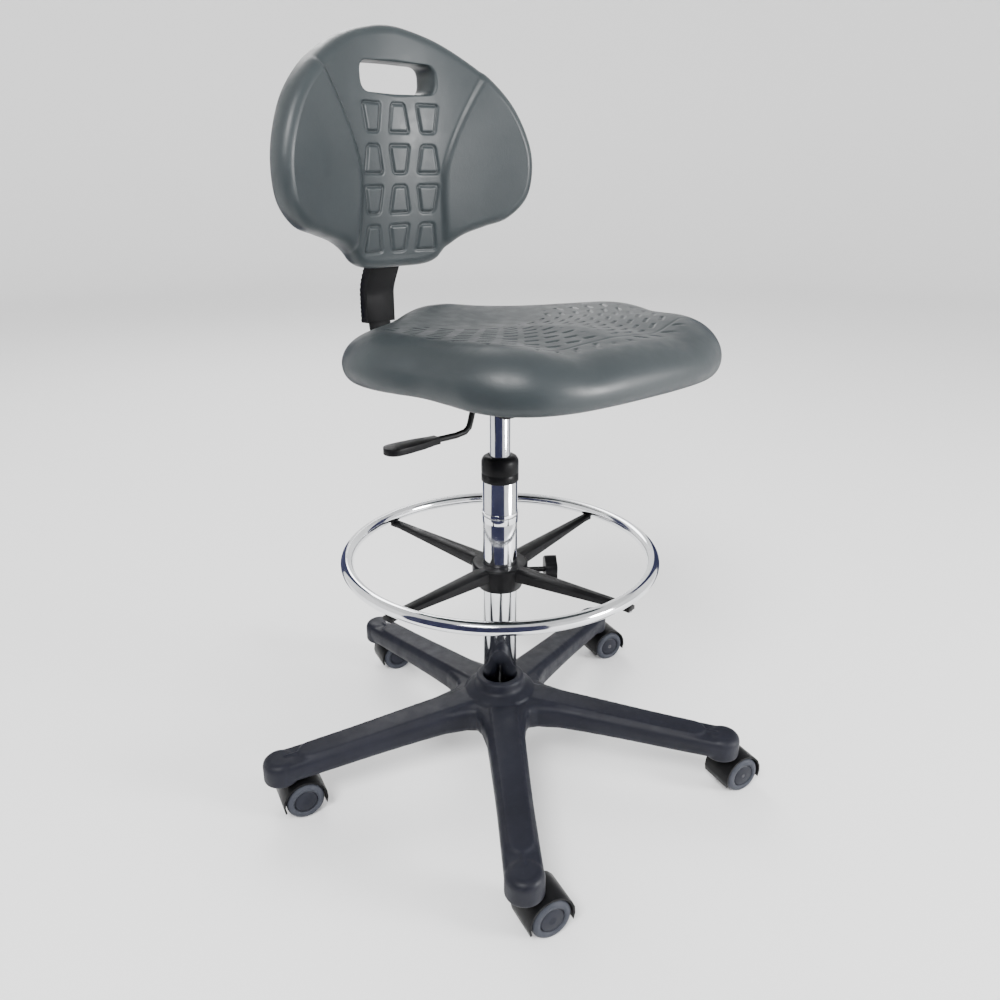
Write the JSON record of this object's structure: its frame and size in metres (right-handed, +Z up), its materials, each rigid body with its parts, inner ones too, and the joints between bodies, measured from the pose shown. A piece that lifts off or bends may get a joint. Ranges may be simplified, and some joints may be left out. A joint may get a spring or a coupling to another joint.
{
  "type": "drafting chair",
  "caption": "Tall swivel work chair with gas-lift column, adjustable foot ring, star base on twin-wheel casters, and moulded foam seat and backrest.",
  "frame": {"origin": "centre of the chair's footprint box, on the floor", "axes": "+Z up, -Y the way the sitter faces, +X to the sitter's left"},
  "size_m": [0.7344, 0.6783, 1.0681],
  "materials": {
    "grey_foam": "moulded self-skinning foam with a fine leather-like grain, satin",
    "black_nylon": "glass-filled nylon, fine texture",
    "black_plastic": "smooth moulded plastic, semi-matt",
    "wheel_grey": "moulded wheel with a soft grey tread",
    "chrome": "bright chrome plate",
    "steel": "plain turned steel",
    "black_steel": "black powder coat"
  },
  "bodies": {
    "base": {"base_star": "black_nylon", "pedestal_tube": "chrome", "guide_collar": "black_plastic", "stop_band": "chrome", "thrust_bearing": "steel", "retaining_clip": "steel"},
    "piston": {"piston_rod": "steel"},
    "upper": {"gas_cylinder": "chrome", "seat_mechanism": "black_steel", "lever_pin": "steel", "seat": "grey_foam", "seat_screw_1": "steel", "seat_screw_2": "steel", "seat_screw_3": "steel", "seat_screw_4": "steel"},
    "lever": {"height_lever": "black_steel", "lever_paddle": "black_plastic"},
    "button": {"release_button": "steel"},
    "depth_clamp": {"depth_knob": "black_plastic"},
    "back_arm": {"back_bar": "black_steel", "ribbed_sleeve": "black_plastic"},
    "back": {"back_carrier": "black_plastic", "backrest": "grey_foam", "back_screw_1": "steel", "back_screw_2": "steel"},
    "back_clamp": {"back_knob": "black_plastic"},
    "foot_ring": {"footring_tube": "chrome", "footring_spokes": "black_nylon", "ring_screw_1": "steel", "ring_screw_2": "steel", "ring_screw_3": "steel", "ring_screw_4": "steel"},
    "ring_clamp": {"clamp_knob": "black_plastic"},
    "caster_1": {"caster_1_stem": "steel", "caster_1_hood": "black_plastic", "caster_1_axle": "steel"},
    "caster_1_left": {"caster_1_wheel_left": "wheel_grey"},
    "caster_1_right": {"caster_1_wheel_right": "wheel_grey"},
    "caster_2": {"caster_2_stem": "steel", "caster_2_hood": "black_plastic", "caster_2_axle": "steel"},
    "caster_2_left": {"caster_2_wheel_left": "wheel_grey"},
    "caster_2_right": {"caster_2_wheel_right": "wheel_grey"},
    "caster_3": {"caster_3_stem": "steel", "caster_3_hood": "black_plastic", "caster_3_axle": "steel"},
    "caster_3_left": {"caster_3_wheel_left": "wheel_grey"},
    "caster_3_right": {"caster_3_wheel_right": "wheel_grey"},
    "caster_4": {"caster_4_stem": "steel", "caster_4_hood": "black_plastic", "caster_4_axle": "steel"},
    "caster_4_left": {"caster_4_wheel_left": "wheel_grey"},
    "caster_4_right": {"caster_4_wheel_right": "wheel_grey"},
    "caster_5": {"caster_5_stem": "steel", "caster_5_hood": "black_plastic", "caster_5_axle": "steel"},
    "caster_5_left": {"caster_5_wheel_left": "wheel_grey"},
    "caster_5_right": {"caster_5_wheel_right": "wheel_grey"}
  },
  "joints": [
    {"name": "seat_height", "type": "slide", "parent": "piston", "child": "upper", "axis": [0, 0, 1], "range_m": [-0.075, 0.125]},
    {"name": "height_lever_tilt", "type": "hinge", "parent": "upper", "child": "lever", "pos_m": [-0.062, -0.0262, 0.6013], "axis": [0, 1, 0], "range_deg": [0, 6], "stiffness_Nm_per_rad": 1.5, "springref_deg": -5.73},
    {"name": "back_depth", "type": "slide", "parent": "upper", "child": "back_arm", "axis": [0, 1, 0], "range_m": [-0.02, 0.03]},
    {"name": "back_height", "type": "slide", "parent": "back_arm", "child": "back", "axis": [0, 0, 1], "range_m": [-0.009, 0.05]},
    {"name": "foot_ring_height", "type": "slide", "parent": "base", "child": "foot_ring", "axis": [0, 0, 1], "range_m": [-0.145, 0.06]},
    {"name": "seat_swivel", "type": "hinge", "parent": "base", "child": "piston", "pos_m": [-0.02, -0.0262, 0.3], "axis": [0, 0, 1], "continuous": true},
    {"name": "button_press", "type": "slide", "parent": "upper", "child": "button", "axis": [0, 0, 1], "range_m": [-0.005, 0], "stiffness_N_per_m": 150, "springref_m": 0.002},
    {"name": "clamp_knob_turn", "type": "hinge", "parent": "foot_ring", "child": "ring_clamp", "pos_m": [0.0334, -0.06499, 0.32704], "axis": [0.809, -0.5878, 0], "continuous": true},
    {"name": "back_knob_turn", "type": "hinge", "parent": "back", "child": "back_clamp", "pos_m": [-0.02, 0.2693, 0.8096], "axis": [0, 1, 0], "continuous": true},
    {"name": "depth_knob_turn", "type": "hinge", "parent": "upper", "child": "depth_clamp", "pos_m": [-0.02, 0.0738, 0.6], "axis": [0, 0, 1], "continuous": true},
    {"name": "caster_1_swivel", "type": "hinge", "parent": "base", "child": "caster_1", "pos_m": [-0.02, 0.3138, 0.06], "axis": [0, 0, 1], "continuous": true},
    {"name": "caster_1_left_roll", "type": "hinge", "parent": "caster_1", "child": "caster_1_left", "pos_m": [0.00904, 0.32279, 0.0275], "axis": [0.2419, 0.9703, 0], "continuous": true},
    {"name": "caster_1_right_roll", "type": "hinge", "parent": "caster_1", "child": "caster_1_right", "pos_m": [0.00142, 0.29223, 0.0275], "axis": [0.2419, 0.9703, 0], "continuous": true},
    {"name": "caster_2_swivel", "type": "hinge", "parent": "base", "child": "caster_2", "pos_m": [-0.34336, 0.07887, 0.06], "axis": [0, 0, 1], "continuous": true},
    {"name": "caster_2_left_roll", "type": "hinge", "parent": "caster_2", "child": "caster_2_left", "pos_m": [-0.31432, 0.08786, 0.0275], "axis": [0.2419, 0.9703, 0], "continuous": true},
    {"name": "caster_2_right_roll", "type": "hinge", "parent": "caster_2", "child": "caster_2_right", "pos_m": [-0.32194, 0.05729, 0.0275], "axis": [0.2419, 0.9703, 0], "continuous": true},
    {"name": "caster_3_swivel", "type": "hinge", "parent": "base", "child": "caster_3", "pos_m": [-0.21985, -0.30127, 0.06], "axis": [0, 0, 1], "continuous": true},
    {"name": "caster_3_left_roll", "type": "hinge", "parent": "caster_3", "child": "caster_3_left", "pos_m": [-0.19081, -0.29227, 0.0275], "axis": [0.2419, 0.9703, 0], "continuous": true},
    {"name": "caster_3_right_roll", "type": "hinge", "parent": "caster_3", "child": "caster_3_right", "pos_m": [-0.19843, -0.32284, 0.0275], "axis": [0.2419, 0.9703, 0], "continuous": true},
    {"name": "caster_4_swivel", "type": "hinge", "parent": "base", "child": "caster_4", "pos_m": [0.17985, -0.30127, 0.06], "axis": [0, 0, 1], "continuous": true},
    {"name": "caster_4_left_roll", "type": "hinge", "parent": "caster_4", "child": "caster_4_left", "pos_m": [0.20888, -0.29227, 0.0275], "axis": [0.2419, 0.9703, 0], "continuous": true},
    {"name": "caster_4_right_roll", "type": "hinge", "parent": "caster_4", "child": "caster_4_right", "pos_m": [0.20126, -0.32284, 0.0275], "axis": [0.2419, 0.9703, 0], "continuous": true},
    {"name": "caster_5_swivel", "type": "hinge", "parent": "base", "child": "caster_5", "pos_m": [0.30336, 0.07887, 0.06], "axis": [0, 0, 1], "continuous": true},
    {"name": "caster_5_left_roll", "type": "hinge", "parent": "caster_5", "child": "caster_5_left", "pos_m": [0.3324, 0.08786, 0.0275], "axis": [0.2419, 0.9703, 0], "continuous": true},
    {"name": "caster_5_right_roll", "type": "hinge", "parent": "caster_5", "child": "caster_5_right", "pos_m": [0.32478, 0.05729, 0.0275], "axis": [0.2419, 0.9703, 0], "continuous": true}
  ],
  "couplings": [
    {"joint": "button_press", "follows": "height_lever_tilt", "m_per_rad": -0.042}
  ]
}
